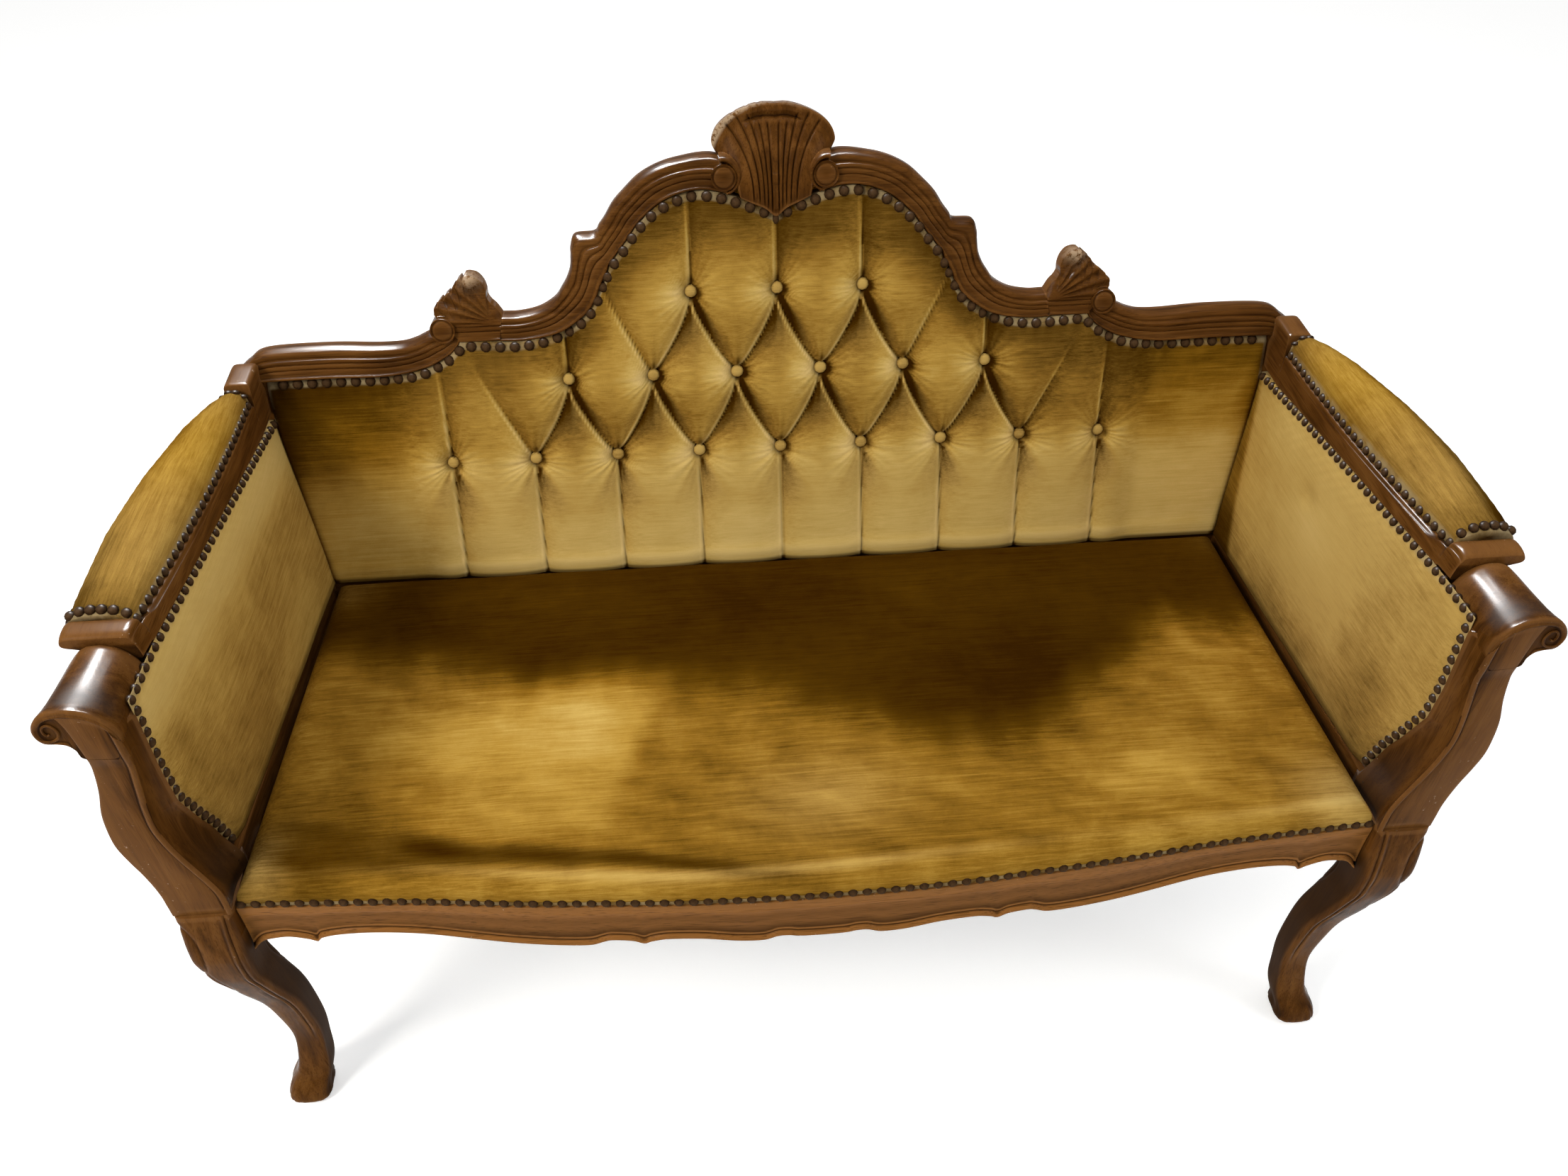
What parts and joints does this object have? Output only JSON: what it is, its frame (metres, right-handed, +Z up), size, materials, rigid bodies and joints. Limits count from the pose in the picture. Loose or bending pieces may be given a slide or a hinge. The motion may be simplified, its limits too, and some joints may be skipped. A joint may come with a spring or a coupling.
{
  "type": "sofa",
  "caption": "Carved wood sofa with cabriole front legs, scrolled padded arms, serpentine seat and a deep-buttoned velvet back under a shell crest",
  "frame": {"origin": "on the floor under the middle of the sofa's bounding box", "axes": "+Z up, the front faces -Y, +X is to the right of a viewer in front"},
  "size_m": [1.3384, 0.6384, 0.9525],
  "materials": {
    "walnut": "satin, stained walnut brown",
    "plain_wood": "raw, unfinished frame wood",
    "velvet": "old-gold velvet with a fine rib",
    "button_velvet": "old-gold velvet over a button",
    "webbing": "woven jute",
    "lining": "thin black cloth"
  },
  "bodies": {
    "root": {"arm_pad_left": "velvet", "arm_pad_right": "velvet", "arm_rail_left": "walnut", "arm_rail_right": "walnut", "arm_support_left": "walnut", "arm_support_right": "walnut", "back_pad": "velvet", "back_post_left": "walnut", "back_post_right": "walnut", "corner_block_front_left": "plain_wood", "corner_block_front_right": "plain_wood", "corner_block_rear_left": "plain_wood", "corner_block_rear_right": "plain_wood", "crest_arch_left": "walnut", "crest_arch_right": "walnut", "crest_leaf_left": "walnut", "crest_leaf_right": "walnut", "crest_shell": "walnut", "crest_wing_left": "walnut", "crest_wing_right": "walnut", "dust_cover": "lining", "front_leg_left": "walnut", "front_leg_right": "walnut", "inside_arm_pad_left": "velvet", "inside_arm_pad_right": "velvet", "outside_arm_panel_left": "velvet", "outside_arm_panel_right": "velvet", "outside_back_panel": "velvet", "seat_brace": "plain_wood", "seat_pad": "velvet", "seat_rail_front": "walnut", "seat_rail_left": "walnut", "seat_rail_rear": "plain_wood", "seat_rail_right": "walnut", "seat_webbing": "webbing", "tuft_button_1_1": "button_velvet", "tuft_button_1_2": "button_velvet", "tuft_button_1_3": "button_velvet", "tuft_button_1_4": "button_velvet", "tuft_button_1_5": "button_velvet", "tuft_button_1_6": "button_velvet", "tuft_button_1_7": "button_velvet", "tuft_button_1_8": "button_velvet", "tuft_button_1_9": "button_velvet", "tuft_button_2_1": "button_velvet", "tuft_button_2_2": "button_velvet", "tuft_button_2_3": "button_velvet", "tuft_button_2_4": "button_velvet", "tuft_button_2_5": "button_velvet", "tuft_button_2_6": "button_velvet", "tuft_button_3_1": "button_velvet", "tuft_button_3_2": "button_velvet", "tuft_button_3_3": "button_velvet"}
  },
  "joints": []
}
